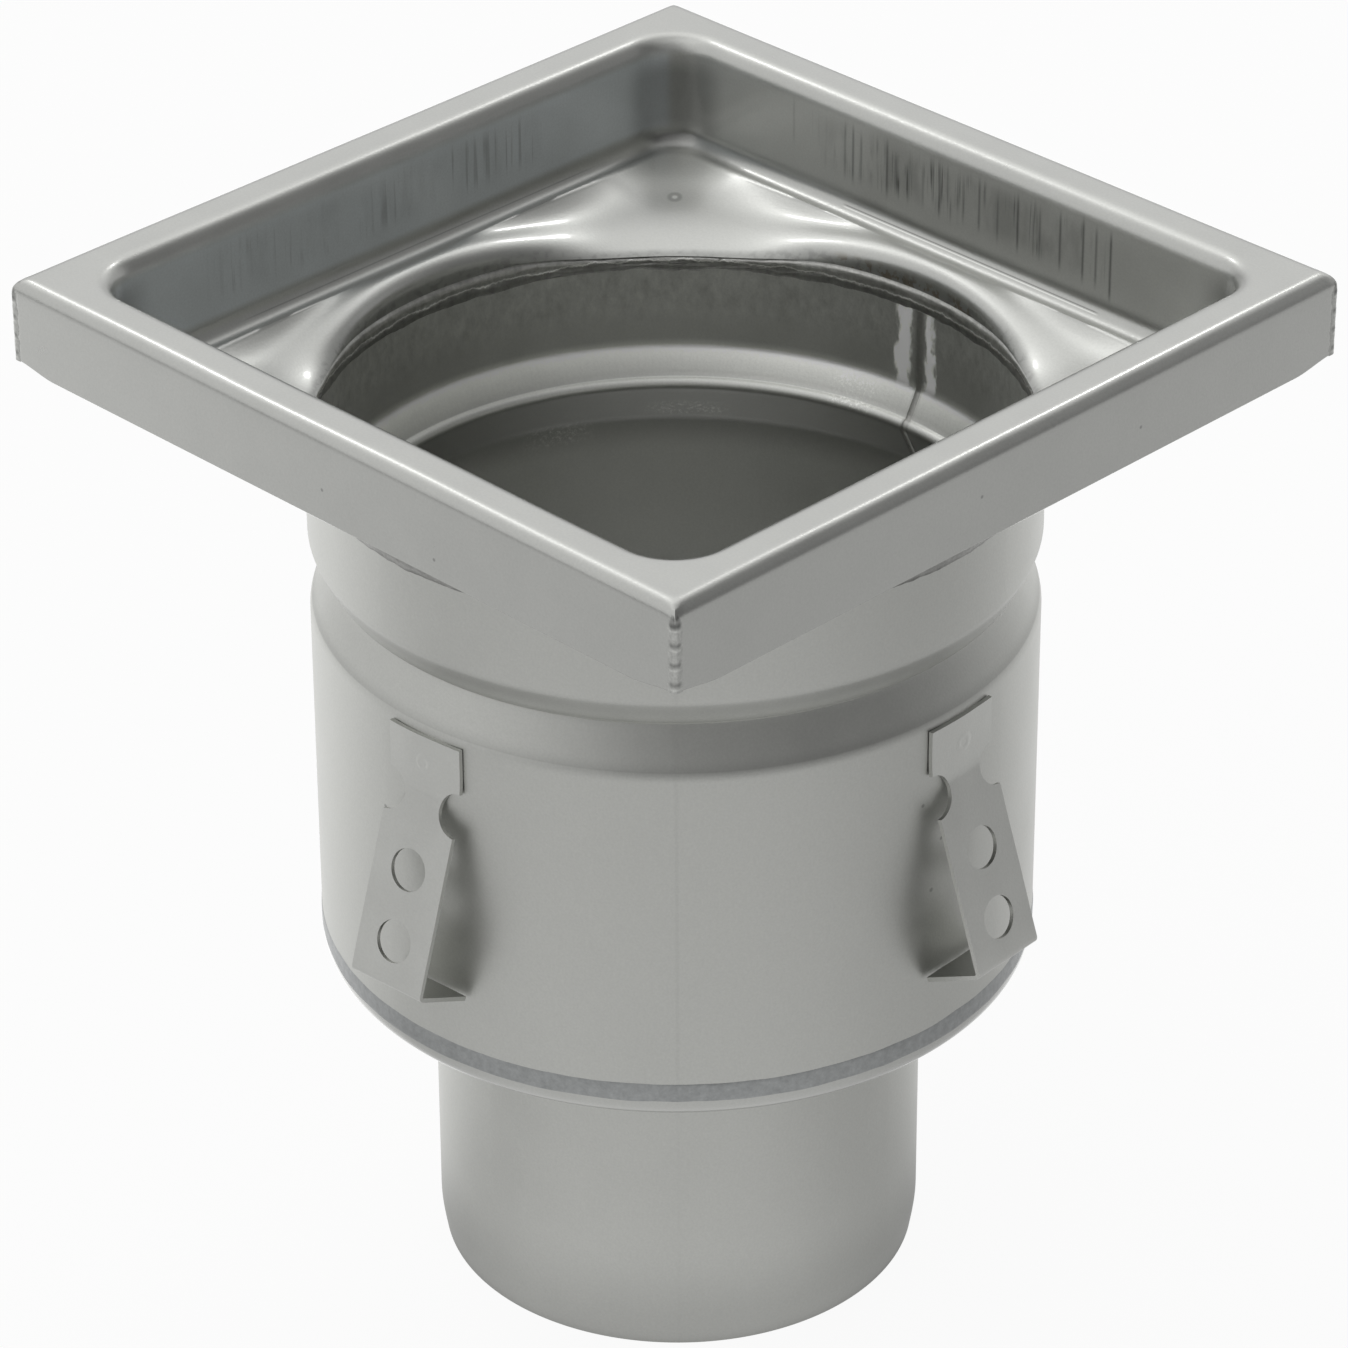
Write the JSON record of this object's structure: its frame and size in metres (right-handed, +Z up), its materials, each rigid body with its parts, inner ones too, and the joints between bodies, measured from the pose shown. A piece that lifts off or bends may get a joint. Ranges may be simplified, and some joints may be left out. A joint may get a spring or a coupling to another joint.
{
  "type": "floor gully",
  "caption": "Square framed stainless floor gully with a pressed recess for a grating, round beaded body, anchor tabs and a vertical outlet spigot.",
  "frame": {"origin": "centre of the outlet pipe's lower end, which is the bottom centre of the whole gully", "axes": "+Z up along the outlet and body axis, X and Y square to the sides of the frame"},
  "size_m": [0.2002, 0.2002, 0.242],
  "materials": {
    "pressed_sheet": "pickled satin",
    "rolled_sheet": "pickled satin",
    "tab_sheet": "mill finish satin",
    "weld_metal": "ground and pickled"
  },
  "bodies": {
    "root": {"frame_tray": "pressed_sheet", "frame_corner_weld_1": "weld_metal", "frame_corner_weld_2": "weld_metal", "frame_corner_weld_3": "weld_metal", "frame_corner_weld_4": "weld_metal", "throat_weld": "weld_metal", "body_tube": "rolled_sheet", "body_seam_weld": "weld_metal", "base_weld": "weld_metal", "base_cap": "pressed_sheet", "outlet_weld": "weld_metal", "outlet_pipe": "rolled_sheet", "outlet_seam_weld": "weld_metal", "anchor_tab_1": "tab_sheet", "anchor_tab_2": "tab_sheet", "anchor_tab_3": "tab_sheet", "anchor_tab_4": "tab_sheet", "tab_spot_weld_1": "weld_metal", "tab_spot_weld_2": "weld_metal", "tab_spot_weld_3": "weld_metal", "tab_spot_weld_4": "weld_metal"}
  },
  "joints": []
}
